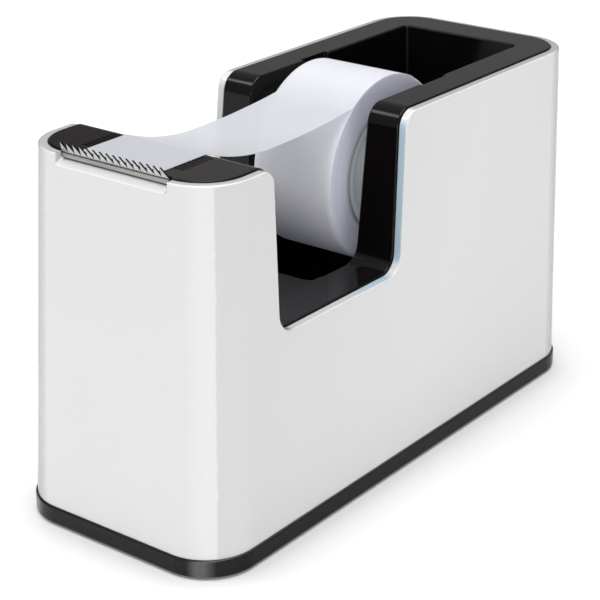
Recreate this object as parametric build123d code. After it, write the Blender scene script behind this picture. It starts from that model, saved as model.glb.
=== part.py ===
from build123d import *
import math
import os

# Desk tape dispenser.
# Frame: +X across the width, +Y from the cutter towards the back, +Z up.
# The origin is the centre of the footprint, on the plane that the feet stand on.
# Lengths in millimetres.

# overall size
WIDTH = 51.0
LENGTH = 126.0
SHELL_TOP = 73.7
BASE_TOP = 4.0
FOOT_PROUD = 0.4
CORNER_RADIUS = 10.3

# outer shell
SHELL_WALL = 1.7
SHELL_INSET = 0.4
SIDE_DRAFT = 1.9
FRONT_DRAFT = 3.5
BACK_DRAFT = 0.0
EDGE_ROUND = 0.4
SHOULDER_HALF_LENGTH = 44.0
SHOULDER_TOP = 30.0
SHOULDER_DEPTH = 1.6
SHOULDER_HEIGHT = 2.0
SHOULDER_BITE = 0.2

# cut-out through both sides: floor height, then front and back edge at the floor and at the top
CUT_FLOOR = 42.3
CUT_FRONT_LOW = -41.9
CUT_FRONT_HIGH = -42.3
CUT_BACK_LOW = -4.4
CUT_BACK_HIGH = -1.8
CUT_FRONT_ROUND = 2.6
CUT_BACK_ROUND = 3.7
CUT_INNER_ROUND = 4.0
CUT_LEAST_ROUND = 0.5

# black mouldings: insert and nose cap
FIT_GAP = 0.15
BLACK_PROUD = 0.3
PLATE = 2.2
SKIRT = 1.8
PARTING_Y = -37.0
JOINT_GAP = 0.1
LEDGE_DEPTH = 0.6
LEDGE_HALF_WIDTH = 13.2
LEDGE_FRONT = -35.5
LEDGE_OVERLAP = 2.2

# well that the roll drops into
WELL_HALF_TOP = 14.3
WELL_HALF_LOW = 13.0
WELL_FLOOR = 28.0
WELL_FRONT_TOP = -18.4
WELL_FRONT_LOW = -17.7
WELL_BACK_TOP = 52.3
WELL_BACK_LOW = 51.1
WELL_WALL = 2.6
WELL_FRONT_ROUND = 3.5
WELL_BACK_ROUND = 1.2
RIM_ROUND = 0.4
SKIRT_ROUND = 0.3

# slots that guide and seat the hub axle
SLOT_WIDTH = 8.0
SLOT_MOUTH_Y = 19.4
SLOT_HALF_SPAN = 15.3
SLOT_DEPTH = 4.0
SLOT_OVERRUN = 1.3

# cutter and the notch in front of it
NOTCH_HALF_WIDTH = 13.0
NOTCH_INNER_Z = 72.6
NOTCH_OUTER_Z = 71.6
NOTCH_ROUND = 0.6
BLADE_HALF_WIDTH = 12.5
BLADE_THICKNESS = 0.5
BLADE_FOOT_Z = 63.0
BLADE_REAR_Y = -56.8
TOOTH_COUNT = 16
TOOTH_TIP_Z = 75.8
TOOTH_ROOT_Z = 74.5
TOOTH_LEAN = 0.7
TOOTH_LEFT_SHARE = 0.12
TOOTH_RIGHT_SHARE = 0.85
PAD_MARGIN = 2.0
FOLD_REACH = 0.6
TIP_THICKNESS = 0.35
STAKE_X = 8.0
STAKE_Z = 67.0
STAKE_RADIUS = 1.2

# grip ribs on the nose
RIB_COUNT = 7
RIB_FIRST_Y = -53.3
RIB_PITCH = 1.2
RIB_DEPTH = 0.5
RIB_RUN = 0.85
RIB_HALF_WIDTH = 12.0

# tape roll, core and hub
ROLL_Y = 11.4
ROLL_Z = 56.5
ROLL_RADIUS = 19.1
TAPE_WIDTH = 19.0
CORE_OUTER = 13.4
CORE_INNER = 12.75
HUB_RADIUS = 12.65
HUB_WALL = 1.5
HUB_HALF_WIDTH = 9.3
HUB_FACE = 8.4
HUB_SPLIT_GAP = 0.1
HUB_BOSS_RADIUS = 5.2
AXLE_RADIUS = 3.0
AXLE_RUNNING_GAP = 0.06
AXLE_END_RADIUS = 3.8
AXLE_END_START = 12.2
AXLE_HALF_LENGTH = 15.1
TAIL_THICKNESS = 0.3
TAIL_GAP = 0.3
TAIL_LEAVES_AT = 127.5
TAIL_LOW = (-26.0, 70.35)
TAIL_RISING = (-40.0, 72.6)
TAIL_REST_Y = -46.5
TAIL_END_Y = -55.7

# fastenings and ballast
BOSS_RADIUS = 3.2
BOSS_BOTTOM = 8.0
PILOT_RADIUS = 1.2
SCREW_RADIUS = 1.2
SCREW_HEAD_RADIUS = 2.5
SCREW_HEAD_HEIGHT = 1.6
FRONT_BOSS = (15.0, -53.0)
REAR_BOSS = (14.0, 55.8)
CAP_BOSS = (9.0, -51.2)
BALLAST_SIZE = (38.0, 96.0, 10.0)
BALLAST_BOTTOM = 3.6
BALLAST_POST = (9.0, 14.0)
BALLAST_CORNER = 6.0
KEEPER_LENGTH = 24.0
KEEPER_TOP = 8.0
FOOT_RADIUS = 4.5
FOOT_THICKNESS = 1.2
FOOT_PLACE = (17.5, 43.0)
TRAY_FLOOR = 2.2
TRAY_LIP_TOP = 7.0
TRAY_LIP_WALL = 1.5
BASE_SCREW_LENGTH = 16.0
CAP_SCREW_LENGTH = 11.0
SCREW_CLEARANCE = 0.3
SCREW_PLAY = 0.05
PILOT_DEPTH = 12.0
RECESS_LENGTH = 2.6
RECESS_WIDTH = 0.6
RECESS_DEPTH = 0.7
SCREW_SINK = 0.3
FOOT_CHAMFER = 0.3

# how far cutting bodies stand clear of the top, and how close two numbers are when they match
TOP_MARGIN = 10.0
NEAR = 0.01

RIM_TOP = SHELL_TOP + BLACK_PROUD
CEILING = SHELL_TOP + TOP_MARGIN
BLACK_OFFSET = SHELL_WALL + FIT_GAP
SCREW_HOLE_RADIUS = SCREW_RADIUS + SCREW_CLEARANCE
DECK_UNDERSIDE = CUT_FLOOR + BLACK_PROUD - PLATE
FRONT_PLATE_TOP = DECK_UNDERSIDE - JOINT_GAP
SLOT_RISE = RIM_TOP - ROLL_Z
SLOT_SHIFT = SLOT_MOUTH_Y - ROLL_Y


def height_share(z):
    """How far up the drafted shell a height is, from 0 at its foot to 1 at its top."""
    return (z - BASE_TOP) / (SHELL_TOP - BASE_TOP)


def front_wall(z):
    """Where the outside of the front wall stands at a height."""
    return -LENGTH / 2 + SHELL_INSET + FRONT_DRAFT * height_share(z)


def back_wall(z):
    """Where the outside of the back wall stands at a height."""
    return LENGTH / 2 - SHELL_INSET - BACK_DRAFT * height_share(z)


def case_outline(offset, z):
    """Rounded outline of the case at a height, moved inwards by offset."""
    share = height_share(z)
    half_x = WIDTH / 2 - SHELL_INSET - SIDE_DRAFT * share - offset
    front = offset + front_wall(z)
    back = back_wall(z) - offset
    outline = RectangleRounded(2 * half_x, back - front, CORNER_RADIUS - offset)
    return Pos(0, (front + back) / 2, z) * outline


def case_block(offset, z_low, z_high):
    """Solid drafted block between two heights."""
    return loft([case_outline(offset, z_low), case_outline(offset, z_high)], ruled=True)


def side_cut(depth):
    """Everything above the U-shaped side line, moved into the material by depth."""
    top = SHELL_TOP - depth
    floor = CUT_FLOOR - depth
    middle = (CUT_FRONT_LOW + CUT_BACK_LOW) / 2
    corners = [
        (-LENGTH, top),
        (CUT_FRONT_HIGH - depth, top),
        (CUT_FRONT_LOW - depth, floor),
        (CUT_BACK_LOW + depth, floor),
        (CUT_BACK_HIGH + depth, top),
        (LENGTH, top),
        (LENGTH, CEILING),
        (-LENGTH, CEILING),
    ]
    face = make_face(Polyline(*corners, close=True))
    top_corners = ((-LENGTH / 2, middle, CUT_FRONT_ROUND), (middle, LENGTH / 2, CUT_BACK_ROUND))
    for low, high, radius in top_corners:
        corner = [v for v in face.vertices() if abs(v.Y - top) < NEAR and low < v.X < high]
        face = fillet(corner, max(radius - depth, CUT_LEAST_ROUND))
    inner = [v for v in face.vertices() if abs(v.Y - floor) < NEAR]
    face = fillet(inner, CUT_INNER_ROUND + depth)
    return extrude(Plane.YZ * face, WIDTH, both=True)


def well_outline(offset, z):
    """Outline of the well at a height, grown outwards by offset."""
    share = (z - WELL_FLOOR) / (RIM_TOP - WELL_FLOOR)
    half_x = WELL_HALF_LOW + (WELL_HALF_TOP - WELL_HALF_LOW) * share + offset
    front = WELL_FRONT_LOW + (WELL_FRONT_TOP - WELL_FRONT_LOW) * share - offset
    back = WELL_BACK_LOW + (WELL_BACK_TOP - WELL_BACK_LOW) * share + offset
    face = Pos(0, (front + back) / 2) * Rectangle(2 * half_x, back - front)
    face = fillet([v for v in face.vertices() if v.Y < 0], WELL_FRONT_ROUND + offset)
    square = [v for v in face.vertices() if v.Y > back - NEAR]
    face = fillet(square, WELL_BACK_ROUND + offset)
    return Pos(0, 0, z) * face


def well_block(offset, z_low, z_high):
    """Solid that fills the well between two heights."""
    return loft([well_outline(offset, z_low), well_outline(offset, z_high)], ruled=True)


def box_between(low, high):
    """Box from its lowest to its highest corner."""
    size = [b - a for a, b in zip(low, high)]
    return Pos(*low) * Box(*size, align=(Align.MIN, Align.MIN, Align.MIN))


def rod(x, y, z_low, z_high, radius):
    """Upright cylinder."""
    standing = (Align.CENTER, Align.CENTER, Align.MIN)
    return Pos(x, y, z_low) * Cylinder(radius, z_high - z_low, align=standing)


def cross_rod(x_low, x_high, radius):
    """Cylinder along the hub axis."""
    place = Pos((x_low + x_high) / 2, ROLL_Y, ROLL_Z)
    return place * Rot(0, 90, 0) * Cylinder(radius, x_high - x_low)


def cross_tube(x_low, x_high, outer, inner):
    """Tube along the hub axis."""
    return cross_rod(x_low, x_high, outer) - cross_rod(x_low - 1, x_high + 1, inner)


def left_and_right(place):
    """The given place and its mirror image across the width."""
    x, y = place
    return [(x, y), (-x, y)]


def four_corners(place):
    """The given place and its mirror images across both middle planes."""
    x, y = place
    return [(x, y), (-x, y), (x, -y), (-x, -y)]


def base_bosses():
    """Places of the four bosses that the base screws bite into."""
    return left_and_right(FRONT_BOSS) + left_and_right(REAR_BOSS)


def make_outer_shell():
    shell = case_block(0, BASE_TOP, SHELL_TOP)
    hollow = case_block(SHELL_WALL, BASE_TOP - NEAR, SHELL_TOP + NEAR)
    shell = shell - hollow
    shoulder_low = SHOULDER_TOP - SHOULDER_HEIGHT
    shoulder = case_block(SHELL_WALL - SHOULDER_BITE, shoulder_low, SHOULDER_TOP)
    shoulder = shoulder - case_block(SHELL_WALL + SHOULDER_DEPTH, shoulder_low - 1, SHOULDER_TOP + 1)
    half = SHOULDER_HALF_LENGTH
    sides = box_between((-WIDTH, -half, 0), (WIDTH, half, SHELL_TOP))
    shell = shell + (shoulder & sides)
    shell = shell - side_cut(0)
    shell = shell - notch_cutter()
    return round_shell_edges(shell)


def outer_edges(solid, offset, z_low):
    """Sharp edges that lie on the drafted outer surface, above a height."""
    chosen = []
    for edge in solid.edges():
        middle = edge @ 0.5
        lowest = min(v.Z for v in edge.vertices())
        if lowest < z_low or middle.Z < z_low:
            continue
        share = height_share(middle.Z)
        from_side = WIDTH / 2 - SHELL_INSET - SIDE_DRAFT * share - offset - abs(middle.X)
        from_front = middle.Y - front_wall(middle.Z) - offset
        from_back = back_wall(middle.Z) - offset - middle.Y
        from_end = min(from_front, from_back)
        radius = CORNER_RADIUS - offset
        if min(from_side, from_end) < NEAR / 2:
            chosen.append(edge)
        elif from_side < radius and from_end < radius:
            reach = math.hypot(radius - from_side, radius - from_end)
            if abs(reach - radius) < NEAR / 2:
                chosen.append(edge)
    return chosen


def round_shell_edges(shell):
    """Soften the outer edge of the top and of the cut-out."""
    return fillet(outer_edges(shell, 0, BASE_TOP + 5), EDGE_ROUND)


def rim_edges(insert):
    """Edges where the well breaks through the rim and the side cut-out."""
    chosen = []
    for edge in insert.edges():
        middle = edge @ 0.5
        share = (middle.Z - WELL_FLOOR) / (RIM_TOP - WELL_FLOOR)
        half_x = WELL_HALF_LOW + (WELL_HALF_TOP - WELL_HALF_LOW) * share
        if min(v.Z for v in edge.vertices()) < CUT_FLOOR + BLACK_PROUD - NEAR:
            continue
        inside = abs(middle.X) < WELL_HALF_TOP and 5 < middle.Y < WELL_BACK_TOP
        on_rim = inside and middle.Z > RIM_TOP - NEAR
        on_side = abs(abs(middle.X) - half_x) < NEAR and middle.Y < 0
        if on_rim or on_side:
            chosen.append(edge)
    return chosen


def notch_cutter():
    """Bevelled gap in the front wall, below the teeth."""
    outside = -LENGTH / 2 - 2
    inside = BLADE_REAR_Y
    slope = (NOTCH_INNER_Z - NOTCH_OUTER_Z) / SHELL_WALL
    wall_y = front_wall(SHELL_TOP)
    z_outside = NOTCH_OUTER_Z + slope * (outside - wall_y)
    z_inside = NOTCH_INNER_Z + slope * (inside - wall_y - SHELL_WALL)
    ceiling = SHELL_TOP + 1
    corners = [(outside, z_outside), (inside, z_inside), (inside, ceiling), (outside, ceiling)]
    face = make_face(Polyline(*corners, close=True))
    notch = extrude(Plane.YZ * face, NOTCH_HALF_WIDTH, both=True)
    ends = [e for e in notch.edges() if abs(abs((e @ 0.5).X) - NOTCH_HALF_WIDTH) < NEAR]
    lower = [e for e in ends if abs((e % 0.5).Z) < 0.9 and (e @ 0.5).Z < SHELL_TOP]
    return fillet(lower, NOTCH_ROUND)


def black_block(z_low):
    """Outer form shared by the insert and the nose cap."""
    return case_block(BLACK_OFFSET, z_low, RIM_TOP) - side_cut(-BLACK_PROUD)


def black_hollow(z_low):
    """Space inside the skirt, plate thickness away from the outer form."""
    return case_block(BLACK_OFFSET + SKIRT, z_low, RIM_TOP) - side_cut(PLATE - BLACK_PROUD)


def slot_cutter(side):
    """Guide slot in one well wall, from its mouth in the rim down to the axle seat."""
    far = (SLOT_SHIFT * SLOT_OVERRUN, SLOT_RISE * SLOT_OVERRUN)
    length = math.hypot(*far)
    angle = math.degrees(math.atan2(far[1], far[0]))
    lane = Pos(length / 2, 0) * Rectangle(length, SLOT_WIDTH) + Circle(SLOT_WIDTH / 2)
    face = Pos(ROLL_Y, ROLL_Z) * Rot(0, 0, angle) * lane
    body = extrude(Plane.YZ * face, SLOT_HALF_SPAN)
    low = (SLOT_HALF_SPAN - SLOT_DEPTH, -LENGTH, 0)
    body = body & box_between(low, (SLOT_HALF_SPAN, LENGTH, CEILING))
    return body if side > 0 else mirror(body, Plane.YZ)


def make_well_insert():
    tub_low = WELL_FLOOR - PLATE
    insert = black_block(SHOULDER_TOP)
    insert = insert - (black_hollow(SHOULDER_TOP - 1) - well_block(WELL_WALL, tub_low, RIM_TOP))
    insert = insert + well_block(WELL_WALL, tub_low, CUT_FLOOR + BLACK_PROUD - 1)
    insert = insert - box_between((-WIDTH, -LENGTH, FRONT_PLATE_TOP), (WIDTH, PARTING_Y, CEILING))
    plate = case_block(BLACK_OFFSET, FRONT_PLATE_TOP - PLATE, FRONT_PLATE_TOP)
    insert = insert + (plate & box_between((-WIDTH, -LENGTH, 0), (WIDTH, PARTING_Y + PLATE, CEILING)))
    insert = insert - well_block(0, WELL_FLOOR, RIM_TOP + 1)
    insert = insert - ledge_cutter()
    for side in (1, -1):
        insert = insert - slot_cutter(side)
    for x, y in left_and_right(FRONT_BOSS):
        insert = insert + rod(x, y, BOSS_BOTTOM, FRONT_PLATE_TOP - 1, BOSS_RADIUS)
    for x, y in left_and_right(REAR_BOSS):
        insert = insert + rod(x, y, BOSS_BOTTOM, RIM_TOP - 1, BOSS_RADIUS)
    ballast_top = BALLAST_BOTTOM + BALLAST_SIZE[2]
    for x, y in four_corners(BALLAST_POST):
        insert = insert + rod(x, y, ballast_top + JOINT_GAP, WELL_FLOOR - 1, BOSS_RADIUS)
    for x, y in base_bosses():
        insert = insert - rod(x, y, BOSS_BOTTOM - 1, BOSS_BOTTOM + PILOT_DEPTH, PILOT_RADIUS)
    for x, y in left_and_right(CAP_BOSS):
        insert = insert - rod(x, y, FRONT_PLATE_TOP - PLATE - 1, FRONT_PLATE_TOP + 1, SCREW_HOLE_RADIUS)
    insert = fillet(outer_edges(insert, BLACK_OFFSET, DECK_UNDERSIDE + 1), SKIRT_ROUND)
    return fillet(rim_edges(insert), RIM_ROUND)


def ledge_cutter():
    """Shallow recess of the deck in front of the well."""
    deck = CUT_FLOOR + BLACK_PROUD
    back = WELL_FRONT_LOW + LEDGE_OVERLAP
    low = (-LEDGE_HALF_WIDTH, LEDGE_FRONT, deck - LEDGE_DEPTH)
    return box_between(low, (LEDGE_HALF_WIDTH, back, deck + 1))


def make_nose_cap():
    bottom = DECK_UNDERSIDE
    keep = box_between((-WIDTH, -LENGTH, bottom), (WIDTH, PARTING_Y - JOINT_GAP, CEILING))
    cap = (black_block(bottom) - black_hollow(bottom - 1)) & keep
    cap = fillet(outer_edges(cap, BLACK_OFFSET, bottom + 1), SKIRT_ROUND)
    for x, y in left_and_right(CAP_BOSS):
        cap = cap + rod(x, y, bottom, RIM_TOP - 1, BOSS_RADIUS)
        cap = cap - rod(x, y, bottom - 1, bottom + PILOT_DEPTH, PILOT_RADIUS)
    half = BLADE_HALF_WIDTH + PAD_MARGIN
    low = (-half, BLADE_REAR_Y, BLADE_FOOT_Z - PAD_MARGIN)
    cap = cap + box_between(low, (half, BLADE_REAR_Y + SKIRT, RIM_TOP - 1))
    half = BLADE_HALF_WIDTH + JOINT_GAP
    low = (-half, -LENGTH, BLADE_FOOT_Z - JOINT_GAP)
    cap = cap - box_between(low, (half, BLADE_REAR_Y, CEILING))
    for side in (1, -1):
        cap = cap + stake(side, STAKE_RADIUS, BLADE_REAR_Y + 1, BLADE_REAR_Y - BLADE_THICKNESS)
    for number in range(RIB_COUNT):
        cap = cap - rib_groove(RIB_FIRST_Y + number * RIB_PITCH)
    return cap


def stake(side, radius, y_from, y_to):
    """Short round peg that the blade is staked on."""
    place = Pos(side * STAKE_X, (y_from + y_to) / 2, STAKE_Z)
    return place * Rot(90, 0, 0) * Cylinder(radius, abs(y_from - y_to))


def rib_groove(y):
    """One saw-tooth groove across the nose: steep at the front, sloping up to the back."""
    top = RIM_TOP + NEAR
    corners = [(y, top), (y, RIM_TOP - RIB_DEPTH), (y + RIB_RUN * RIB_PITCH, top)]
    face = make_face(Polyline(*corners, close=True))
    return extrude(Plane.YZ * face, RIB_HALF_WIDTH, both=True)


def make_cutter_blade():
    """Flat strip with a fold at the notch and teeth that lean forwards."""
    front = BLADE_REAR_Y - BLADE_THICKNESS
    fold_z = NOTCH_INNER_Z + JOINT_GAP
    profile = [
        (BLADE_REAR_Y, BLADE_FOOT_Z),
        (BLADE_REAR_Y, TOOTH_ROOT_Z - BLADE_THICKNESS),
        (front - TOOTH_LEAN, TOOTH_TIP_Z),
        (front - TOOTH_LEAN - TIP_THICKNESS, TOOTH_TIP_Z),
        (front - TIP_THICKNESS, TOOTH_ROOT_Z),
        (front - FOLD_REACH, TOOTH_ROOT_Z - BLADE_THICKNESS),
        (front - FOLD_REACH, fold_z + FOLD_REACH),
        (front, fold_z),
        (front, BLADE_FOOT_Z),
    ]
    blade = extrude(Plane.YZ * make_face(Polyline(*profile, close=True)), BLADE_HALF_WIDTH, both=True)
    pitch = 2 * BLADE_HALF_WIDTH / TOOTH_COUNT
    for number in range(TOOTH_COUNT):
        blade = blade - tooth_gap(-BLADE_HALF_WIDTH + number * pitch, pitch)
    for side in (1, -1):
        blade = blade - stake(side, STAKE_RADIUS + JOINT_GAP, BLADE_REAR_Y + 1, front - 1)
    return blade


def tooth_gap(x, pitch):
    """Gap to the right of one tooth, whose tip leans to the left."""
    top = TOOTH_TIP_Z + NEAR
    corners = [
        (x + TOOTH_LEFT_SHARE * pitch, top),
        (x + TOOTH_RIGHT_SHARE * pitch, TOOTH_ROOT_Z),
        (x + pitch, TOOTH_ROOT_Z),
        (x + pitch, top),
    ]
    face = make_face(Polyline(*corners, close=True))
    return extrude(Plane.XZ.offset(-BLADE_REAR_Y) * face, 3, both=True)


def make_base_tray():
    bottom = FOOT_PROUD
    outline = RectangleRounded(WIDTH, LENGTH, CORNER_RADIUS + SHELL_INSET)
    tray = Pos(0, 0, bottom) * extrude(outline, BASE_TOP - bottom)
    layers = tray.edges().group_by(Axis.Z)
    tray = fillet(layers[0] + layers[-1], EDGE_ROUND)
    tray = tray + case_block(BLACK_OFFSET, BASE_TOP - 1, TRAY_LIP_TOP)
    tray = tray - case_block(BLACK_OFFSET + TRAY_LIP_WALL, bottom + TRAY_FLOOR, TRAY_LIP_TOP + 1)
    for x, y in base_bosses():
        tray = tray + rod(x, y, bottom, BOSS_BOTTOM - JOINT_GAP, BOSS_RADIUS)
        tray = tray - rod(x, y, bottom - 1, BOSS_BOTTOM + 1, SCREW_HOLE_RADIUS)
        sunk = bottom + SCREW_SINK + SCREW_HEAD_HEIGHT
        tray = tray - rod(x, y, bottom - 1, sunk, SCREW_HEAD_RADIUS + SCREW_CLEARANCE)
    for x, y in four_corners(FOOT_PLACE):
        tray = tray - rod(x, y, 0, FOOT_THICKNESS, FOOT_RADIUS + FIT_GAP)
    for x, y in four_corners(BALLAST_POST):
        tray = tray + rod(x, y, bottom + 1, BALLAST_BOTTOM - JOINT_GAP, BOSS_RADIUS)
    for keeper in ballast_keepers():
        tray = tray + keeper
    return tray


def ballast_keepers():
    """Four low ribs around the ballast plate that stop it from sliding."""
    half_x = BALLAST_SIZE[0] / 2 + JOINT_GAP
    half_y = BALLAST_SIZE[1] / 2 + JOINT_GAP
    half_length = KEEPER_LENGTH / 2
    wall = (WIDTH / 2 - SHELL_INSET - SHELL_WALL - TRAY_LIP_WALL) - half_x
    low = FOOT_PROUD + 1
    side = box_between((half_x, -half_length, low), (half_x + wall, half_length, KEEPER_TOP - 2))
    end = box_between((-half_length, half_y, low), (half_length, half_y + TRAY_LIP_WALL, KEEPER_TOP))
    return [side, mirror(side, Plane.YZ), end, mirror(end, Plane.XZ)]


def make_ballast_plate():
    size_x, size_y, size_z = BALLAST_SIZE
    plate = Pos(0, 0, BALLAST_BOTTOM + size_z / 2) * Box(size_x, size_y, size_z)
    return chamfer(plate.edges().filter_by(Axis.Z), BALLAST_CORNER)


def screw(x, y, z_head, length):
    """Pan-head screw pointing up, its head's underside outwards, with a cross recess."""
    body = rod(x, y, z_head, z_head + SCREW_HEAD_HEIGHT, SCREW_HEAD_RADIUS)
    body = body + rod(x, y, z_head, z_head + length, SCREW_RADIUS - SCREW_PLAY)
    for turn in (0, 90):
        slot = Pos(x, y, z_head) * Rot(0, 0, turn) * Box(RECESS_LENGTH, RECESS_WIDTH, 2 * RECESS_DEPTH)
        body = body - slot
    return body


def make_base_screws():
    z_head = FOOT_PROUD + SCREW_SINK
    return [screw(x, y, z_head, BASE_SCREW_LENGTH) for x, y in base_bosses()]


def make_cap_screws():
    z_head = FRONT_PLATE_TOP - PLATE - SCREW_HEAD_HEIGHT
    return [screw(x, y, z_head, CAP_SCREW_LENGTH) for x, y in left_and_right(CAP_BOSS)]


def make_foot(x, y):
    foot = rod(x, y, 0, FOOT_THICKNESS - 0.05, FOOT_RADIUS)
    return chamfer(foot.edges().group_by(Axis.Z)[0], FOOT_CHAMFER)


def make_hub_axle():
    axle = cross_rod(-AXLE_END_START, AXLE_END_START, AXLE_RADIUS)
    for side in (1, -1):
        ends = sorted((side * AXLE_END_START, side * AXLE_HALF_LENGTH))
        axle = axle + cross_rod(*ends, AXLE_END_RADIUS)
    return axle


def make_hub_half(side):
    """One half of the spool that carries the core: sleeve, recessed face and boss."""
    inner_end = HUB_SPLIT_GAP / 2
    half = cross_tube(inner_end, HUB_HALF_WIDTH, HUB_RADIUS, HUB_RADIUS - HUB_WALL)
    half = half + cross_tube(HUB_FACE - HUB_WALL, HUB_FACE, HUB_RADIUS - 1, AXLE_RADIUS + 1)
    half = half + cross_tube(inner_end, HUB_HALF_WIDTH, HUB_BOSS_RADIUS, AXLE_RADIUS + AXLE_RUNNING_GAP)
    return half if side > 0 else mirror(half, Plane.YZ)


def make_tape_core():
    half = TAPE_WIDTH / 2
    return cross_tube(-half, half, CORE_OUTER, CORE_INNER)


def make_tape_roll():
    half = TAPE_WIDTH / 2
    return cross_tube(-half, half, ROLL_RADIUS, CORE_OUTER + 2 * NEAR)


def make_tape_tail():
    """Free end of the tape: peels off the roll, sags to the nose and lies flat on the ribs."""
    flat_z = RIM_TOP + TAIL_GAP + TAIL_THICKNESS / 2
    start_angle = math.radians(TAIL_LEAVES_AT)
    reach = ROLL_RADIUS + TAIL_GAP + TAIL_THICKNESS / 2
    start = (0, ROLL_Y + reach * math.cos(start_angle), ROLL_Z + reach * math.sin(start_angle))
    rest = (0, TAIL_REST_Y, flat_z)
    sag = Spline(start, (0, *TAIL_LOW), (0, *TAIL_RISING), rest, tangents=[(0, -1, -0.09), (0, -1, 0)])
    path = Wire([sag.edge(), Edge.make_line(rest, (0, TAIL_END_Y, flat_z))])
    section = Plane(origin=start, x_dir=(1, 0, 0), z_dir=path % 0) * Rectangle(TAPE_WIDTH, TAIL_THICKNESS)
    return sweep(section, path)


def build_nodes():
    nodes = {
        "outer_shell": make_outer_shell(),
        "well_insert": make_well_insert(),
        "nose_cap": make_nose_cap(),
        "cutter_blade": make_cutter_blade(),
        "base_tray": make_base_tray(),
        "ballast_plate": make_ballast_plate(),
        "base_screws": make_base_screws(),
        "cap_screws": make_cap_screws(),
        "hub_axle": make_hub_axle(),
        "hub_right": make_hub_half(1),
        "hub_left": make_hub_half(-1),
        "tape_core": make_tape_core(),
        "tape_roll": make_tape_roll(),
        "tape_tail": make_tape_tail(),
    }
    x, y = FOOT_PLACE
    nodes["foot_front_left"] = make_foot(-x, -y)
    nodes["foot_front_right"] = make_foot(x, -y)
    nodes["foot_rear_left"] = make_foot(-x, y)
    nodes["foot_rear_right"] = make_foot(x, y)
    return nodes


os.makedirs("parts", exist_ok=True)
for name, shape in build_nodes().items():
    if isinstance(shape, list):
        shape = Compound(children=shape)
    export_step(shape, f"parts/{name}.step")
    print(name, round(shape.volume), "mm3")
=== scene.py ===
import math
import random

import bmesh
import bpy
from mathutils import Matrix, Vector, noise
from mathutils.geometry import interpolate_bezier


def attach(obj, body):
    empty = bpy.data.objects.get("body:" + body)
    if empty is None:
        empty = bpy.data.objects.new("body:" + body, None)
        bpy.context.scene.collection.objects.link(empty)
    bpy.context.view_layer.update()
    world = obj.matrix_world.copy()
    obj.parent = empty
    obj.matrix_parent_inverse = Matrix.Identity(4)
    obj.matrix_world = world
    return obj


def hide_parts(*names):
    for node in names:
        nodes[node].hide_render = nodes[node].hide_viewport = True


# Desk tape dispenser. The scene is in metres, +X across the width, +Y from the cutter to the back, +Z up.
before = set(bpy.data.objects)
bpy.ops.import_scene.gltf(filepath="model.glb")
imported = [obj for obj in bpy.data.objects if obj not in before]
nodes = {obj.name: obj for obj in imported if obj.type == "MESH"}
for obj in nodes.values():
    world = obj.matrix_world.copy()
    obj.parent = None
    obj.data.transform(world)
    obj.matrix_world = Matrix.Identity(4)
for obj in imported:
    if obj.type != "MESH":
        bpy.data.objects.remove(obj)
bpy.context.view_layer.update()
MM = 0.001

# The lengths named here are in millimetres, up to the camera's, which are in metres. A pair is (y, z).

# case: top of the black rim, grip grooves of the nose, and where the nose ends
RIM_TOP = 74.0
GROOVES_MIDDLE_Y = -49.2
GROOVES_HALF_LENGTH = 4.6
GROOVES_HALF_WIDTH = 12.0
NOSE_BACK_Y = -39.0

# wound roll
ROLL_CENTRE = (11.4, 56.5)
ROLL_RADIUS = 19.1
CORE_OUTER = 13.42
TAPE_WIDTH = 19.0
ROLL_TURNS = 26
ROLL_SEGMENTS = 192
TREAD_STEPS = 6

# free end of the film: angles on the roll, handles of its two curves, bend over the nose, end,
# and the y between which it hangs free
WRAP_FROM = 62.0
WRAP_TO = 127.5
PEEL_HANDLES = ((-7.0, 70.85), (-16.5, 70.2))
SAG = (-25.0, 70.25)
RISE_HANDLES = ((-32.0, 70.25), (-38.0, 71.65))
NOSE_BEND = (-44.9, 71.1)
NOSE_ROUND = 3.02
BEND_FROM = 68.6
BEND_TO = 90.0
FILM_END = -56.4
FILM_GAP = 0.09
FILM_THICKNESS = 0.08
FILM_COLUMNS = 96
FREE_SPAN = (8.0, -44.0)
CUP_DEPTH = 0.22
RIPPLE = 0.05
TORN_DEPTH = 0.75
TORN_LENGTH = 2.5

# cutter: section below its teeth, as (distance behind the face, height), then one tooth
BLADE_HALF_WIDTH = 12.5
BLADE_FRONT = -57.3
BLADE_SHEET = 0.42
TOOTH_COUNT = 16
TOOTH_PITCH = 2 * BLADE_HALF_WIDTH / TOOTH_COUNT
STRIP = ((0.0, 63.1), (0.0, 72.7))
FOLD = ((-0.48, 72.8), (-0.55, 72.95), (-0.55, 73.5), (-0.46, 73.6))
GROOVE = ((-0.15, 73.66), (-0.15, 73.8))
TOOTH_FOOT = ((-0.42, 73.86), (-0.50, 74.0))
TOOTH_TIP = (-0.95, 75.75)
TOOTH_OVERHANG = 0.05
TIP_WIDTH = 0.12
TIP_THICKNESS = 0.3

# painted light and shade on the shell: painted light on the corners, painted shade where they turn into the
# side and on the side in front, painted light on the side at the back, painted shade on grazing edges and a
# painted blue reflection on the cut edges; then the sideways share of the surface's direction at which the
# painted tone steps
CORNER_PAINTED_LIGHT = (0.83, 0.83, 0.832)
TURN_PAINTED_SHADE = (0.695, 0.695, 0.698)
NEAR_SIDE_PAINTED_SHADE = (0.73, 0.73, 0.733)
FAR_SIDE_PAINTED_LIGHT = (0.83, 0.83, 0.833)
GRAZING_PAINTED_SHADE = (0.30, 0.30, 0.31)
CUT_EDGE_PAINTED_REFLECTION = (0.50, 0.64, 0.72)
CORNER_STEP = (0.75, 0.77)

# camera: its place, in degrees and metres, the point that it looks at, and its lens
AZIMUTH, ELEVATION, CAMERA_ROLL = 37.01, 21.61, 0.01
DISTANCE = 0.3751
TARGET = (0, 0, 0.038)
LENS = 110.59
SHIFT = (-0.0250, -0.0677)

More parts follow.
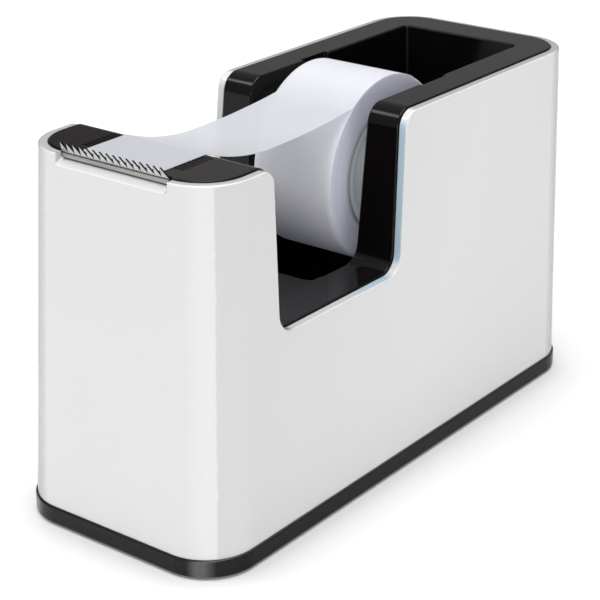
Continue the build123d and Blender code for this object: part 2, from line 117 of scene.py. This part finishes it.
# studio: direction of the bright wall, and how bright each part of the surroundings is
WORLD_FRONT = (0.42, -0.90, 0.1)
WORLD_LOW = 0.20
WORLD_BEHIND = 0.34
WORLD_WALL = 0.58
WORLD_TOP = 0.48


# ---------------------------------------------------------------- node helpers

def new_material(name):
    """An empty node material: the material, its tree and its main shader."""
    material = bpy.data.materials.new(name)
    material.use_nodes = True
    return material, material.node_tree, material.node_tree.nodes["Principled BSDF"]


def node(tree, kind, inputs=None, **settings):
    """Adds a node. An input is a number, a colour or another node's output."""
    made = tree.nodes.new(kind)
    for key, value in settings.items():
        setattr(made, key, value)
    for key, value in (inputs or {}).items():
        if isinstance(value, bpy.types.NodeSocket):
            tree.links.new(value, made.inputs[key])
        else:
            made.inputs[key].default_value = value
    return made


def place(tree, stretch=(1, 1, 1)):
    """Object coordinates, stretched per axis."""
    where = node(tree, "ShaderNodeTexCoord").outputs["Object"]
    return node(tree, "ShaderNodeMapping", {"Vector": where, "Scale": stretch}).outputs[0]


def grain(tree, scale, detail=2.0, stretch=(1, 1, 1)):
    """Noise of about 1/scale metres, as a value from 0 to 1."""
    inputs = {"Vector": place(tree, stretch), "Scale": scale, "Detail": detail}
    return node(tree, "ShaderNodeTexNoise", inputs).outputs[0]


def spread(tree, value, low, high, start=0.3, end=0.7):
    """Maps a value from one range to another, without going past its ends."""
    inputs = {"Value": value, "From Min": start, "From Max": end, "To Min": low, "To Max": high}
    return node(tree, "ShaderNodeMapRange", inputs).outputs[0]


def blend(tree, share, first, second):
    """Mixes two colours."""
    made = node(tree, "ShaderNodeMix", data_type="RGBA")
    for slot, value in ((0, share), (6, first), (7, second)):
        if isinstance(value, bpy.types.NodeSocket):
            tree.links.new(value, made.inputs[slot])
        elif slot == 0:
            made.inputs[slot].default_value = value
        else:
            made.inputs[slot].default_value = (*value[:3], 1)
    return made.outputs[2]


def maths(tree, operation, first, second=0.0):
    """One sum on values."""
    made = node(tree, "ShaderNodeMath", operation=operation)
    for slot, value in enumerate((first, second)):
        if isinstance(value, bpy.types.NodeSocket):
            tree.links.new(value, made.inputs[slot])
        else:
            made.inputs[slot].default_value = value
    return made.outputs[0]


def dot(tree, first, second):
    """Dot product of two directions."""
    made = node(tree, "ShaderNodeVectorMath", {0: first, 1: second}, operation="DOT_PRODUCT")
    return made.outputs["Value"]


def both(tree, first, second):
    """Where two masks overlap."""
    return maths(tree, "MULTIPLY", first, second)


def join(tree, output, shader, name):
    tree.links.new(output, shader.inputs[name])


def reopen(material):
    """Tree, main shader and base colour of a finished material, to work on them further."""
    tree = material.node_tree
    shader = tree.nodes["Principled BSDF"]
    return tree, shader, shader.inputs["Base Color"].links[0].from_socket


def glow(shader, colour, strength):
    """Emission: light that the material gives off of its own, though it is no lamp."""
    shader.inputs["Emission Color"].default_value = (*colour, 1)
    shader.inputs["Emission Strength"].default_value = strength


def rounded(tree, radius):
    """Normal that is softened across edges within the radius."""
    return node(tree, "ShaderNodeBevel", {"Radius": radius}, samples=6).outputs[0]


def edge_mask(tree, soft):
    """1 where the softened normal leaves the true one, 0 on flat faces."""
    true = node(tree, "ShaderNodeNewGeometry").outputs["True Normal"]
    return spread(tree, maths(tree, "SUBTRACT", 1.0, dot(tree, soft, true)), 0, 1, 0.01, 0.2)


def facing(tree, direction):
    """How far the surface faces a direction, from -1 to 1."""
    return dot(tree, node(tree, "ShaderNodeTexCoord").outputs["Normal"], direction)


def along(tree, axis):
    """Place along one axis, in metres."""
    return node(tree, "ShaderNodeSeparateXYZ", {0: place(tree)}).outputs[axis]


def band(tree, value, centre, half_width, edge):
    """1 within half_width of the centre, fading to 0 over the edge."""
    away = maths(tree, "ABSOLUTE", maths(tree, "SUBTRACT", value, centre))
    return spread(tree, away, 1, 0, half_width, half_width + edge)


def relief(tree, height, distance, strength, normal=None):
    """Bump from a height."""
    inputs = {"Height": height, "Distance": distance, "Strength": strength}
    if normal is not None:
        inputs["Normal"] = normal
    return node(tree, "ShaderNodeBump", inputs).outputs[0]


# ---------------------------------------------------------------- materials

def moulded_plastic(name, colour, roughness, edge_highlight_colour, texture=0.15, specular=0.5, coat=0.0,
                    tint_step=0.05):
    """Injection-moulded plastic: slight colour drift, fine moulded skin, handling marks, and a painted
    highlight along its edges.
    """
    material, tree, shader = new_material(name)
    drift = grain(tree, 45, 3)
    darker = [c * (1 - tint_step) for c in colour]
    darkest = [c * (1 - 2 * tint_step) for c in colour]
    base = blend(tree, spread(tree, drift, 0, 1), darker, colour)
    speck = spread(tree, grain(tree, 2600, 1), 0, 1, 0.70, 0.80)
    base = blend(tree, both(tree, speck, 0.25), base, darkest)
    soft = rounded(tree, 0.25 * MM)
    # painted highlight: edges lightened towards the edge colour
    base = blend(tree, both(tree, edge_mask(tree, soft), 0.6), base, edge_highlight_colour)
    join(tree, base, shader, "Base Color")
    wipes = grain(tree, 160, 4, (1, 0.25, 1))
    join(tree, spread(tree, wipes, roughness * 0.82, roughness * 1.2), shader, "Roughness")
    skin = maths(tree, "ADD", grain(tree, 1500, 2), maths(tree, "MULTIPLY", grain(tree, 220, 1), 1.5))
    join(tree, relief(tree, skin, 0.02 * MM, texture, soft), shader, "Normal")
    shader.inputs["Specular IOR Level"].default_value = specular
    shader.inputs["Coat Weight"].default_value = coat
    shader.inputs["Coat Roughness"].default_value = 0.06
    return material


def painted_side_light_and_shade(tree, colour):
    """Painted light and shade: corners painted paler than the front, then a painted step down to the side,
    which is painted paler towards the back.
    """
    sideways = maths(tree, "ABSOLUTE", facing(tree, (1, 0, 0)))
    before_step = spread(tree, sideways, 1, 0, *CORNER_STEP)
    corner = both(tree, spread(tree, sideways, 0, 1, 0.30, 0.62), before_step)
    # painted light on the corners
    colour = blend(tree, corner, colour, CORNER_PAINTED_LIGHT)
    # painted shade on the side: darker where the corner turns into it and in front
    near_side = blend(tree, spread(tree, sideways, 0, 1, 0.84, 0.999), TURN_PAINTED_SHADE, NEAR_SIDE_PAINTED_SHADE)
    backwards = spread(tree, along(tree, 1), 0, 1, -50 * MM, 50 * MM)
    # painted light on the side towards the back
    side = blend(tree, backwards, near_side, FAR_SIDE_PAINTED_LIGHT)
    return blend(tree, spread(tree, sideways, 0, 1, *CORNER_STEP), colour, side)


def painted_reflection_mask(tree):
    """Mask of a painted blue reflection: the cut-out's upright back edge on the right side and its low edge.
    """
    lengthways = along(tree, 1)
    right = spread(tree, along(tree, 0), 0, 1, 0.0, 1 * MM)
    forwards = spread(tree, facing(tree, (0, -1, 0)), 0, 1, 0.85, 0.95)
    back_edge = both(tree, forwards, band(tree, lengthways, -3.0 * MM, 2.5 * MM, 0.5 * MM))
    upwards = spread(tree, facing(tree, (0, 0, 1)), 0, 1, 0.85, 0.95)
    floor_edge = both(tree, upwards, band(tree, lengthways, -12.0 * MM, 3.0 * MM, 4.0 * MM))
    low = spread(tree, along(tree, 2), 1, 0, 50 * MM, 55 * MM)
    return maths(tree, "MAXIMUM", both(tree, back_edge, right), both(tree, floor_edge, low))


def shell_plastic(name):
    """Glossy white plastic with painted light and shade: corners painted brighter, painted shade on grazing
    edges, a painted blue reflection on the cut edges.
    """
    material = moulded_plastic(name, (0.765, 0.765, 0.768), 0.20, (0.95, 0.96, 0.97), coat=0.3, texture=0.06,
                               tint_step=0.012)
    tree, shader, colour = reopen(material)
    colour = painted_side_light_and_shade(tree, colour)
    grazing = node(tree, "ShaderNodeLayerWeight", {0: 0.5}).outputs["Facing"]
    # painted shade: grazing edges darkened towards grey
    colour = blend(tree, spread(tree, grazing, 0, 1, 0.49, 0.82), colour, GRAZING_PAINTED_SHADE)
    # painted reflection: cut edges tinted blue
    colour = blend(tree, painted_reflection_mask(tree), colour, CUT_EDGE_PAINTED_REFLECTION)
    join(tree, colour, shader, "Base Color")
    return material


def base_plastic(name):
    """Black satin plastic of the foot frame, with a painted highlight on its four corners."""
    specular = 0.2
    material = moulded_plastic(name, (0.010, 0.0085, 0.009), 0.26, (0.03, 0.03, 0.03), texture=0.1,
                               specular=specular)
    tree, shader, colour = reopen(material)
    sideways = maths(tree, "ABSOLUTE", facing(tree, (1, 0, 0)))
    painted_corner_highlight = both(tree, band(tree, sideways, 0.52, 0.06, 0.16), 0.9)
    # painted highlight on the four rounded corners
    join(tree, blend(tree, painted_corner_highlight, colour, (0.13, 0.13, 0.132)), shader, "Base Color")
    join(tree, spread(tree, sideways, specular, 0.11, 0.90, 0.99), shader, "Specular IOR Level")
    return material


def hub_plastic(name):
    """Pale grey, slightly see-through plastic; a painted glow (emission) stands in for the light that
    spreads inside it.
    """
    material = moulded_plastic(name, (0.56, 0.60, 0.63), 0.35, (0.74, 0.77, 0.79))
    _, shader, _ = reopen(material)
    # painted glow: emission lifts the hub in the shade
    glow(shader, (0.85, 0.95, 1.0), 0.11)
    return material


def satin_black(name):
    """Black satin plastic: dull in the grip grooves and at the nose's left end, warmer towards the nose."""
    specular = 0.22
    material = moulded_plastic(name, (0.0042, 0.0034, 0.0036), 0.13, (0.06, 0.056, 0.057), texture=0.05,
                               specular=specular)
    tree, shader, colour = reopen(material)
    across, lengthways, height = (along(tree, axis) for axis in range(3))
    sunk = spread(tree, height, 1, 0, (RIM_TOP - 0.42) * MM, (RIM_TOP - 0.22) * MM)
    ribbed = both(tree, band(tree, lengthways, GROOVES_MIDDLE_Y * MM, GROOVES_HALF_LENGTH * MM, 0.2 * MM),
                  band(tree, across, 0.0, GROOVES_HALF_WIDTH * MM, 0.1 * MM))
    on_nose = spread(tree, lengthways, 1, 0, NOSE_BACK_Y * MM, (NOSE_BACK_Y + 3) * MM)
    nose_left = both(tree, spread(tree, across, 0.85, 0, -9 * MM, 4 * MM), on_nose)
    dull = maths(tree, "MAXIMUM", both(tree, sunk, ribbed), nose_left)
    join(tree, spread(tree, dull, specular, 0.0, 0, 1), shader, "Specular IOR Level")
    warmed = spread(tree, lengthways, 1, 0, -45 * MM, -5 * MM)
    join(tree, blend(tree, warmed, colour, (0.0105, 0.0077, 0.0084)), shader, "Base Color")
    return material


def steel(name, colour, roughness, stretch=(0.02, 1, 1)):
    """Rolled sheet steel with fine rolling lines along the blade."""
    material, tree, shader = new_material(name)
    lines = grain(tree, 5200, 3, stretch)
    bright = [min(1.0, c * 1.35) for c in colour]
    base = blend(tree, spread(tree, lines, 0, 1), colour, bright)
    stain = spread(tree, grain(tree, 240, 4), 0, 0.35, 0.5, 0.8)
    base = blend(tree, stain, base, [c * 0.7 for c in colour])
    join(tree, base, shader, "Base Color")
    join(tree, spread(tree, lines, roughness * 0.8, roughness * 1.25), shader, "Roughness")
    join(tree, relief(tree, lines, 0.01 * MM, 0.2, rounded(tree, 0.06 * MM)), shader, "Normal")
    shader.inputs["Metallic"].default_value = 1.0
    return material


def blade_steel(name, colour, roughness):
    """Rolled steel with painted shade: darker on the folded strip below the teeth and dark on the flanks
    between the teeth.
    """
    material = steel(name, colour, roughness)
    tree, shader, base = reopen(material)
    painted_shade_below_teeth = spread(tree, along(tree, 2), 0.5, 0, 73.6 * MM, 74.3 * MM)
    # painted shade on the folded strip below the teeth
    base = blend(tree, painted_shade_below_teeth, base, (0.16, 0.16, 0.16))
    painted_flank_shade = spread(tree, facing(tree, (1, 0, 0)), 0, 1, 0.25, 0.5)
    # painted shade on the flanks between the teeth
    join(tree, blend(tree, painted_flank_shade, base, (0.03, 0.03, 0.032)), shader, "Base Color")
    return material


def cast_iron(name):
    """Dull dark cast plate with a sandy skin and rust freckles."""
    material, tree, shader = new_material(name)
    sand = grain(tree, 900, 6)
    base = blend(tree, spread(tree, sand, 0, 1), (0.045, 0.045, 0.05), (0.11, 0.11, 0.115))
    rust = spread(tree, grain(tree, 130, 5), 0, 0.7, 0.58, 0.7)
    base = blend(tree, rust, base, (0.16, 0.07, 0.035))
    join(tree, base, shader, "Base Color")
    join(tree, spread(tree, sand, 0.55, 0.8), shader, "Roughness")
    join(tree, relief(tree, sand, 0.2 * MM, 0.5), shader, "Normal")
    shader.inputs["Metallic"].default_value = 0.6
    return material


def rubber(name):
    """Matt rubber pad with a fine pimpled skin."""
    material, tree, shader = new_material(name)
    pimples = node(tree, "ShaderNodeTexVoronoi", {"Vector": place(tree), "Scale": 1400}).outputs["Distance"]
    base = blend(tree, spread(tree, grain(tree, 300, 3), 0, 1), (0.03, 0.03, 0.03), (0.05, 0.05, 0.052))
    join(tree, base, shader, "Base Color")
    join(tree, spread(tree, pimples, 0.75, 0.95, 0.0, 0.5), shader, "Roughness")
    join(tree, relief(tree, pimples, 0.08 * MM, 0.5), shader, "Normal")
    return material


def ring_distance(tree):
    """Distance from the roll's axis, in metres."""
    y = maths(tree, "SUBTRACT", along(tree, 1), ROLL_CENTRE[0] * MM)
    z = maths(tree, "SUBTRACT", along(tree, 2), ROLL_CENTRE[1] * MM)
    squares = maths(tree, "ADD", maths(tree, "POWER", y, 2.0), maths(tree, "POWER", z, 2.0))
    return maths(tree, "SQRT", squares)


def ring_noise(tree, scale):
    """Noise that only changes with the distance from the roll's axis."""
    inputs = {"W": ring_distance(tree), "Scale": scale, "Detail": 2}
    return node(tree, "ShaderNodeTexNoise", inputs, noise_dimensions="1D").outputs[0]


def wound_film(name):
    """Matt film in many turns: fine rings on the sides, faint streaks on the tread, and a painted glow."""
    material, tree, shader = new_material(name)
    layers = ring_noise(tree, 5200)
    bands = ring_noise(tree, 420)
    base = blend(tree, spread(tree, bands, 0, 1), (0.74, 0.75, 0.86), (0.80, 0.81, 0.91))
    base = blend(tree, both(tree, spread(tree, layers, 0, 1), 0.2), base, (0.64, 0.65, 0.77))
    half = TAPE_WIDTH / 2
    side = spread(tree, maths(tree, "ABSOLUTE", along(tree, 0)), 0, 1, (half - 0.2) * MM, (half - 0.08) * MM)
    streaks = spread(tree, grain(tree, 260, 3, (1, 0.1, 0.1)), 0, 1)
    tread = blend(tree, streaks, (0.91, 0.915, 0.955), (0.94, 0.945, 0.97))
    join(tree, blend(tree, side, tread, base), shader, "Base Color")
    join(tree, spread(tree, layers, 0.35, 0.55), shader, "Roughness")
    join(tree, relief(tree, layers, 0.03 * MM, 0.35), shader, "Normal")
    shader.inputs["Subsurface Weight"].default_value = 0.35
    shader.inputs["Subsurface Radius"].default_value = (1.2 * MM, 1.25 * MM, 1.5 * MM)
    shader.inputs["Subsurface Scale"].default_value = 1.0
    # painted glow: lavender emission lifts the roll's shaded parts
    glow(shader, (0.72, 0.76, 1.0), 0.065)
    return material


def thin_film(name):
    """One layer of matt, slightly see-through film with faint draw lines along its length, painted shade
    over the nose and painted light where it wraps the roll.
    """
    material, tree, shader = new_material(name)
    draw = grain(tree, 1300, 3, (1, 0.02, 0.02))
    cloud = grain(tree, 110, 3)
    base = blend(tree, spread(tree, cloud, 0, 1), (0.77, 0.785, 0.825), (0.80, 0.815, 0.85))
    base = blend(tree, both(tree, spread(tree, draw, 0, 1), 0.2), base, (0.86, 0.87, 0.90))
    lengthways = along(tree, 1)
    on_nose = spread(tree, lengthways, 1, 0, -46 * MM, -34 * MM)
    # painted shade where the film lies over the black nose
    base = blend(tree, on_nose, base, (0.755, 0.765, 0.82))
    painted_light_on_roll = spread(tree, lengthways, 0, 1, -3 * MM, 6 * MM)
    # painted light where the film lies on the roll
    base = blend(tree, painted_light_on_roll, base, (0.935, 0.94, 0.965))
    join(tree, base, shader, "Base Color")
    join(tree, spread(tree, draw, 0.32, 0.46), shader, "Roughness")
    join(tree, relief(tree, draw, 0.01 * MM, 0.2), shader, "Normal")
    through = node(tree, "ShaderNodeBsdfTranslucent", {"Color": base})
    mixed = node(tree, "ShaderNodeMixShader", {0: 0.2, 1: shader.outputs[0], 2: through.outputs[0]})
    clear = node(tree, "ShaderNodeBsdfTransparent", {"Color": (0.95, 0.95, 1.0, 1)})
    last = node(tree, "ShaderNodeMixShader", {0: 0.24, 1: mixed.outputs[0], 2: clear.outputs[0]})
    tree.links.new(last.outputs[0], tree.nodes["Material Output"].inputs[0])
    return material


def floor_paper(name):
    """Pale seamless paper, lit a little from below so that shadows on it stay faint."""
    material, tree, shader = new_material(name)
    fibres = spread(tree, grain(tree, 700, 4), 0, 1)
    join(tree, blend(tree, fibres, (0.90, 0.90, 0.90), (0.92, 0.92, 0.92)), shader, "Base Color")
    shader.inputs["Roughness"].default_value = 0.9
    shader.inputs["Specular IOR Level"].default_value = 0.1
    glow(shader, (1, 1, 1), 0.10)
    return material


def finish_cad_nodes():
    """Gives a finish to every CAD node that no piece replaces."""
    white = shell_plastic("white_gloss_plastic")
    black = satin_black("black_satin_plastic")
    base = base_plastic("black_base_plastic")
    grey = hub_plastic("grey_hub_plastic")
    pale = moulded_plastic("pale_core_plastic", (0.55, 0.56, 0.60), 0.4, (0.7, 0.7, 0.72))
    zinc = steel("zinc_steel", (0.42, 0.42, 0.43), 0.35, (1, 1, 1))
    finishes = {
        "outer_shell": white, "well_insert": black, "nose_cap": black, "base_tray": base,
        "hub_right": grey, "hub_left": grey, "hub_axle": grey, "tape_core": pale,
        "base_screws": zinc, "cap_screws": zinc, "ballast_plate": cast_iron("cast_iron"),
    }
    pad = rubber("grey_rubber")
    for name in nodes:
        if name.startswith("foot_"):
            finishes[name] = pad
    for name, material in finishes.items():
        mesh = nodes[name].data
        mesh.materials.clear()
        mesh.materials.append(material)


# ---------------------------------------------------------------- mesh helpers

def piece_from(name, points, faces, material, smooth=True):
    """A mesh object from points in millimetres."""
    mesh = bpy.data.meshes.new(name)
    mesh.from_pydata([Vector(p) * MM for p in points], [], faces)
    mesh.materials.append(material)
    mesh.polygons.foreach_set("use_smooth", [smooth] * len(mesh.polygons))
    made = bpy.data.objects.new(name, mesh)
    bpy.context.scene.collection.objects.link(made)
    with_normals = bmesh.new()
    with_normals.from_mesh(mesh)
    bmesh.ops.recalc_face_normals(with_normals, faces=with_normals.faces)
    with_normals.to_mesh(mesh)
    with_normals.free()
    return made


def soften(piece, width, angle):
    """Rounds the edges of a piece that are sharper than an angle in degrees."""
    bevel = piece.modifiers.new("edge_round", "BEVEL")
    bevel.width = width * MM
    bevel.segments = 2
    bevel.limit_method = "ANGLE"
    bevel.angle_limit = math.radians(angle)
    bevel.harden_normals = True


# ---------------------------------------------------------------- pieces

def make_blade(material):
    """Folded strip with a groove under its teeth, which lean to one side."""
    rows = STRIP + FOLD + GROOVE + TOOTH_FOOT
    count = TOOTH_COUNT + 1
    top = len(rows) - 1
    roots = [-BLADE_HALF_WIDTH + number * TOOTH_PITCH for number in range(count)]
    points = [(x, BLADE_FRONT + behind + depth, z)
              for depth in (0, BLADE_SHEET) for behind, z in rows for x in roots]
    faces = []

    def front(row, column):
        return row * count + column

    def rear(row, column):
        return front(len(rows) + row, column)

    for row in range(top):
        for column in range(TOOTH_COUNT):
            for side in (front, rear):
                faces.append((side(row, column), side(row, column + 1),
                              side(row + 1, column + 1), side(row + 1, column)))
        for column in (0, TOOTH_COUNT):
            faces.append((front(row, column), front(row + 1, column),
                          rear(row + 1, column), rear(row, column)))
    for column in range(TOOTH_COUNT):
        faces.append((front(0, column), rear(0, column), rear(0, column + 1), front(0, column + 1)))
        left, right = front(top, column), front(top, column + 1)
        left_rear, right_rear = rear(top, column), rear(top, column + 1)
        tip, tip_rear = len(points), len(points) + 1
        tip_x = max(roots[column] - TOOTH_OVERHANG * TOOTH_PITCH, -BLADE_HALF_WIDTH)
        tip_y = BLADE_FRONT + TOOTH_TIP[0]
        points += [(tip_x, tip_y, TOOTH_TIP[1]),
                   (tip_x + TIP_WIDTH * TOOTH_PITCH, tip_y + TIP_THICKNESS, TOOTH_TIP[1])]
        faces += [(left, right, tip), (left_rear, tip_rear, right_rear),
                  (left, tip, tip_rear, left_rear), (tip, right, right_rear, tip_rear)]
    blade = piece_from("cutter_strip", points, faces, material, smooth=False)
    soften(blade, 0.04, 22)
    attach(blade, "case")
    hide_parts("cutter_blade")


def on_circle(centre, radius, angle):
    """Point of a circle, as (y, z), at an angle in degrees."""
    turn = math.radians(angle)
    return centre[0] + radius * math.cos(turn), centre[1] + radius * math.sin(turn)


def arc(centre, radius, start, end, steps):
    """Points along an arc between two angles in degrees."""
    return [on_circle(centre, radius, start + (end - start) * step / steps) for step in range(steps + 1)]


def curve(start, handles, end, count):
    """Points along a curve, after its first one."""
    corners = [Vector((*corner, 0)) for corner in (start, *handles, end)]
    return [(point.x, point.y) for point in interpolate_bezier(*corners, count)[1:]]


def tail_line():
    """Middle line of the free end: round the roll, over the gap, along the nose."""
    line = arc(ROLL_CENTRE, ROLL_RADIUS + FILM_GAP, WRAP_FROM, WRAP_TO, 26)
    bend = arc(NOSE_BEND, NOSE_ROUND, BEND_FROM, BEND_TO, 8)
    line += curve(line[-1], PEEL_HANDLES, SAG, 40)
    line += curve(SAG, RISE_HANDLES, bend[0], 46) + bend[1:]
    rest_y, rest_z = bend[-1]
    steps = 22
    line += [(rest_y + (FILM_END - rest_y) * step / steps, rest_z) for step in range(1, steps + 1)]
    return line


def limited(value):
    """The value, kept between 0 and 1."""
    return min(1.0, max(0.0, value))


def make_tail(material):
    """Free end of the film: hollow across where it hangs free, cut to the cutter's zigzag."""
    line = tail_line()
    steps = [math.dist(a, b) for a, b in zip(line, line[1:])]
    total = sum(steps)
    points = []
    for number, (y, z) in enumerate(line):
        to_end = total - sum(steps[:number])
        near_end = max(0.0, 1 - to_end / TORN_LENGTH)
        free = math.sin(math.pi * limited((FREE_SPAN[0] - y) / (FREE_SPAN[0] - FREE_SPAN[1])))
        for column in range(FILM_COLUMNS + 1):
            x = TAPE_WIDTH * (column / FILM_COLUMNS - 0.5)
            across = 2 * x / TAPE_WIDTH
            cup = CUP_DEPTH * free * (across * across - 0.4)
            wave = RIPPLE * free * noise.noise(Vector((x * 0.25, y * 0.12, 3.1)))
            in_tooth = ((x + BLADE_HALF_WIDTH) / TOOTH_PITCH) % 1.0
            zigzag = TORN_DEPTH * abs(in_tooth - 0.5) * 2 * near_end
            points.append((x, y + zigzag, z + cup + wave))
    width = FILM_COLUMNS + 1
    faces = [(r * width + c, r * width + c + 1, (r + 1) * width + c + 1, (r + 1) * width + c)
             for r in range(len(line) - 1) for c in range(FILM_COLUMNS)]
    tail = piece_from("tape_free_end", points, faces, material)
    thick = tail.modifiers.new("film_thickness", "SOLIDIFY")
    thick.thickness = FILM_THICKNESS * MM
    thick.offset = 0.0
    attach(tail, "axle")
    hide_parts("tape_tail")


def make_roll(material):
    """Wound film: turned from a section whose sides step in and out by single turns."""
    random.seed(7)
    half = TAPE_WIDTH / 2
    wound = ROLL_RADIUS - 0.1 - CORE_OUTER
    section = [(half - 0.02 - 0.025 * random.random(), CORE_OUTER + wound * turn / ROLL_TURNS)
               for turn in range(ROLL_TURNS + 1)]
    section.append((half - 0.12, ROLL_RADIUS))
    section += [(half * (1 - step / TREAD_STEPS), ROLL_RADIUS) for step in range(1, TREAD_STEPS)]
    mirrored = [(-x, radius) for x, radius in reversed(section)]
    section = section + [(0.0, ROLL_RADIUS)] + mirrored
    count = len(section)
    points, faces = [], []
    for number in range(ROLL_SEGMENTS):
        angle = 360 * number / ROLL_SEGMENTS
        points += [(x, *on_circle(ROLL_CENTRE, radius, angle)) for x, radius in section]
        here, there = number * count, (number + 1) % ROLL_SEGMENTS * count
        for step in range(count):
            after = (step + 1) % count
            faces.append((here + step, here + after, there + after, there + step))
    roll = piece_from("tape_winding", points, faces, material)
    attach(roll, "roll")
    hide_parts("tape_roll")


# ---------------------------------------------------------------- stage

def make_floor(material):
    """Square of paper, far larger than the part."""
    reach = 3000
    corners = [(-reach, -reach, 0), (reach, -reach, 0), (reach, reach, 0), (-reach, reach, 0)]
    floor = piece_from("floor", corners, [(0, 1, 2, 3)], material)


def soft_light(name, place_at, target, size, power):
    """Oblong soft box that faces a point."""
    data = bpy.data.lights.new(name, "AREA")
    data.shape = "RECTANGLE"
    data.size, data.size_y = size
    data.energy = power
    lamp = bpy.data.objects.new(name, data)
    lamp.location = place_at
    lamp.rotation_euler = (Vector(target) - Vector(place_at)).to_track_quat("-Z", "Y").to_euler()
    bpy.context.scene.collection.objects.link(lamp)


def make_world():
    """Dim studio with a brighter ceiling and a bright wall behind the viewer's side."""
    world = bpy.data.worlds.new("studio")
    world.use_nodes = True
    tree = world.node_tree
    where = node(tree, "ShaderNodeTexCoord").outputs["Generated"]
    height = node(tree, "ShaderNodeSeparateXYZ", {0: where}).outputs[2]
    ceiling = spread(tree, height, 0, 1, 0.3, 0.8)
    to_front = dot(tree, where, WORLD_FRONT)
    wall = spread(tree, to_front, 0, 1, 0.0, 1.0)
    behind = spread(tree, to_front, 1, 0, -0.95, -0.3)
    colour = blend(tree, behind, (WORLD_LOW,) * 3, (WORLD_BEHIND,) * 3)
    colour = blend(tree, wall, colour, (WORLD_WALL,) * 3)
    colour = blend(tree, ceiling, colour, (WORLD_TOP,) * 3)
    tree.links.new(colour, tree.nodes["Background"].inputs[0])
    tree.nodes["Background"].inputs[1].default_value = 1.0
    bpy.context.scene.world = world


def make_camera():
    """Camera on a sphere round its target, turned a little about its own axis."""
    azimuth, elevation, roll = (math.radians(a) for a in (AZIMUTH, ELEVATION, CAMERA_ROLL))
    level = math.cos(elevation)
    back = Vector((math.sin(azimuth) * level, -math.cos(azimuth) * level, math.sin(elevation)))
    right = Vector((math.cos(azimuth), math.sin(azimuth), 0))
    up = back.cross(right)
    across = math.cos(roll) * right + math.sin(roll) * up
    upright = math.cos(roll) * up - math.sin(roll) * right
    data = bpy.data.cameras.new("camera")
    data.sensor_width = 36
    data.lens = LENS
    data.shift_x, data.shift_y = SHIFT
    data.clip_start = 0.01
    camera = bpy.data.objects.new("camera", data)
    turned = Matrix((across, upright, back)).transposed().to_4x4()
    camera.matrix_world = Matrix.Translation(Vector(TARGET) + back * DISTANCE) @ turned
    bpy.context.scene.collection.objects.link(camera)
    bpy.context.scene.camera = camera


bpy.context.scene.view_settings.view_transform = "Standard"
finish_cad_nodes()
make_blade(blade_steel("cutter_steel_finish", (0.42, 0.42, 0.415), 0.24))
make_roll(wound_film("wound_film_finish"))
make_tail(thin_film("thin_film_finish"))
make_floor(floor_paper("floor_paper"))
make_world()
soft_light("front", (0.70, -1.30, 0.20), (0, 0, 0.04), (0.5, 0.4), 3.1)
soft_light("overhead", (0.0, 0.0, 1.2), (0, 0, 0.04), (1.0, 1.0), 12)
soft_light("upper_left", (-0.62, -0.42, 0.86), (0, 0, 0.06), (0.28, 0.2), 1.0)
make_camera()
